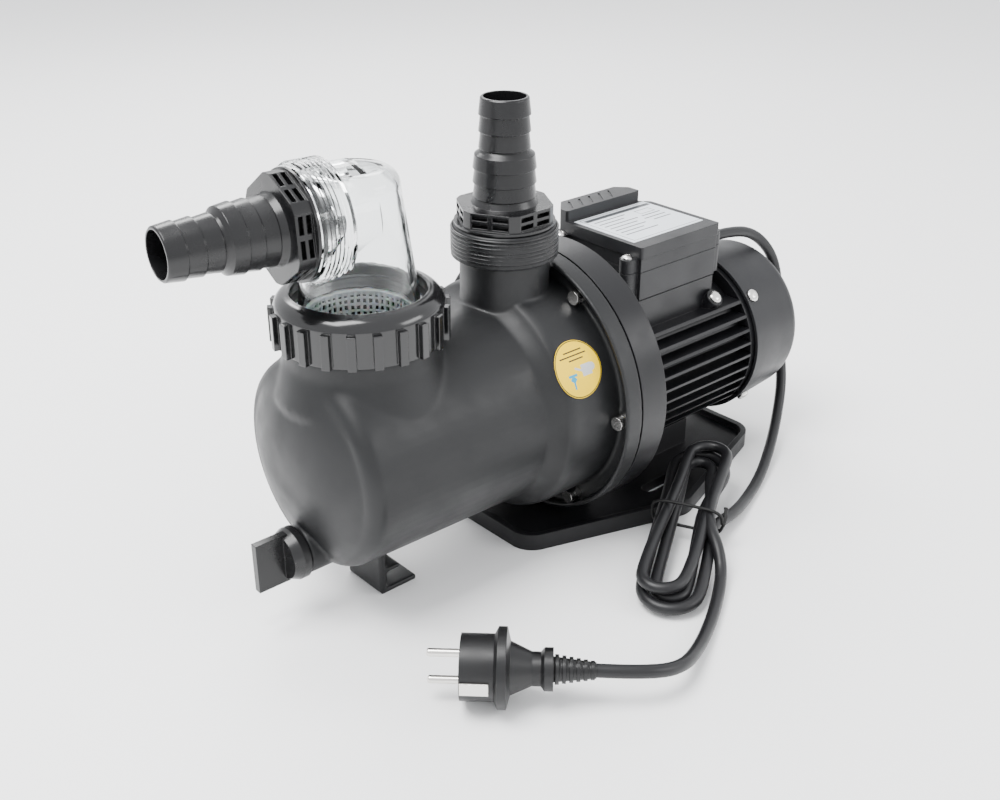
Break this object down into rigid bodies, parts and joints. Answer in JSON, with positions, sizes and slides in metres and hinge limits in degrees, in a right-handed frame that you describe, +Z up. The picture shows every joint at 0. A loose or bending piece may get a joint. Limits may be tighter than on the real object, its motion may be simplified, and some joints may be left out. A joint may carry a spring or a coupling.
{
  "type": "pool pump",
  "caption": "Self-priming pool pump: strainer pot under a clear elbow lid, stepped hose nozzles, finned motor on a slotted base, and a mains lead with an earthed plug.",
  "frame": {"origin": "centre of the base plate's underside, on the floor plane", "axes": "+Z up, +X along the shaft from the strainer towards the motor"},
  "size_m": [0.5052, 0.3007, 0.2976],
  "materials": {
    "casing_black": "fine moulded grain",
    "nut_black": "glossy moulded",
    "nozzle_black": "semi-gloss moulded",
    "clear_plastic": "clear polycarbonate",
    "basket_white": "translucent white",
    "seal_rubber": "matt",
    "screw_steel": "bright zinc-plated",
    "motor_black": "satin black paint",
    "cover_black": "satin moulded",
    "base_black": "satin moulded",
    "label_silver": "pale foil label with plain rules",
    "sticker_yellow": "printed vinyl",
    "cord_rubber": "matt rubber",
    "plug_rubber": "satin moulded rubber",
    "pin_nickel": "nickel plated",
    "shaft_steel": "ground",
    "core_steel": "varnished laminations",
    "copper": "varnished copper windings",
    "ceramic": "ceramic and carbon",
    "bearing_steel": "polished",
    "inner_plastic": "glass-filled nylon",
    "capacitor_white": "smooth"
  },
  "bodies": {
    "pump": {"pump_casing": "casing_black", "casing_screws": "screw_steel", "diffuser": "inner_plastic", "seal_seat": "ceramic", "motor_bracket": "motor_black", "casing_seal": "seal_rubber", "front_bearing": "bearing_steel", "rear_bearing": "bearing_steel", "stator_core": "core_steel", "stator_windings": "copper", "stator_housing": "motor_black", "housing_clamp_screw": "screw_steel", "rear_end_shield": "motor_black", "end_shield_screws": "screw_steel", "fan_cover": "cover_black", "fan_cover_screws": "screw_steel", "terminal_box": "cover_black", "terminal_box_gasket": "seal_rubber", "terminal_box_cover": "cover_black", "rating_label": "label_silver", "terminal_box_screws": "screw_steel", "terminal_block": "capacitor_white", "run_capacitor": "capacitor_white", "cable_gland": "nozzle_black", "base_plate": "base_black", "base_plate_screws": "screw_steel", "fill_sticker": "sticker_yellow", "power_cord_to_hank": "cord_rubber", "cord_hank": "cord_rubber", "cord_tie": "seal_rubber", "power_cord_to_plug": "cord_rubber", "plug_strain_relief": "plug_rubber", "plug_body": "plug_rubber", "plug_pins": "pin_nickel", "plug_earth_clips": "pin_nickel"},
    "rotor": {"motor_shaft": "shaft_steel", "rotor_core": "core_steel", "impeller": "inner_plastic", "impeller_nut": "screw_steel", "seal_rotating_ring": "ceramic", "cooling_fan": "inner_plastic"},
    "lid": {"lid_seal": "seal_rubber"},
    "elbow": {"clear_elbow_lid": "clear_plastic"},
    "union_nut": {"lid_union_nut": "nut_black"},
    "suction_nozzle": {"suction_hose_nozzle": "nozzle_black", "suction_nozzle_seal": "seal_rubber"},
    "discharge_nozzle": {"discharge_hose_nozzle": "nozzle_black", "discharge_nozzle_seal": "seal_rubber"},
    "basket": {"strainer_basket": "basket_white"},
    "drain": {"drain_plug": "nozzle_black", "drain_plug_seal": "seal_rubber"}
  },
  "joints": [
    {"name": "shaft_spin", "type": "hinge", "parent": "pump", "child": "rotor", "pos_m": [0, 0, 0.0892], "axis": [1, 0, 0], "continuous": true},
    {"name": "lid_lift", "type": "slide", "parent": "pump", "child": "lid", "axis": [0, 0, 1], "range_m": [0, 0.16]},
    {"name": "elbow_swivel", "type": "hinge", "parent": "lid", "child": "elbow", "pos_m": [-0.2132, 0, 0.2], "axis": [0, 0, 1], "range_deg": [-110, 110]},
    {"name": "nut_turn", "type": "hinge", "parent": "lid", "child": "union_nut", "pos_m": [-0.2132, 0, 0.19], "axis": [0, 0, 1], "continuous": true},
    {"name": "suction_nozzle_turn", "type": "hinge", "parent": "elbow", "child": "suction_nozzle", "pos_m": [-0.2132, 0, 0.25], "axis": [-0.9971, 0.0767, 0], "continuous": true},
    {"name": "discharge_nozzle_turn", "type": "hinge", "parent": "pump", "child": "discharge_nozzle", "pos_m": [-0.1, 0, 0.22], "axis": [0, 0, 1], "continuous": true},
    {"name": "basket_lift", "type": "slide", "parent": "pump", "child": "basket", "axis": [0, 0, 1], "range_m": [0, 0.096]},
    {"name": "drain_plug_turn", "type": "hinge", "parent": "pump", "child": "drain", "pos_m": [-0.28, 0, 0.0465], "axis": [-1, 0, 0], "continuous": true}
  ],
  "couplings": [
    {"joint": "basket_lift", "follows": "lid_lift", "ratio": 0.6}
  ]
}
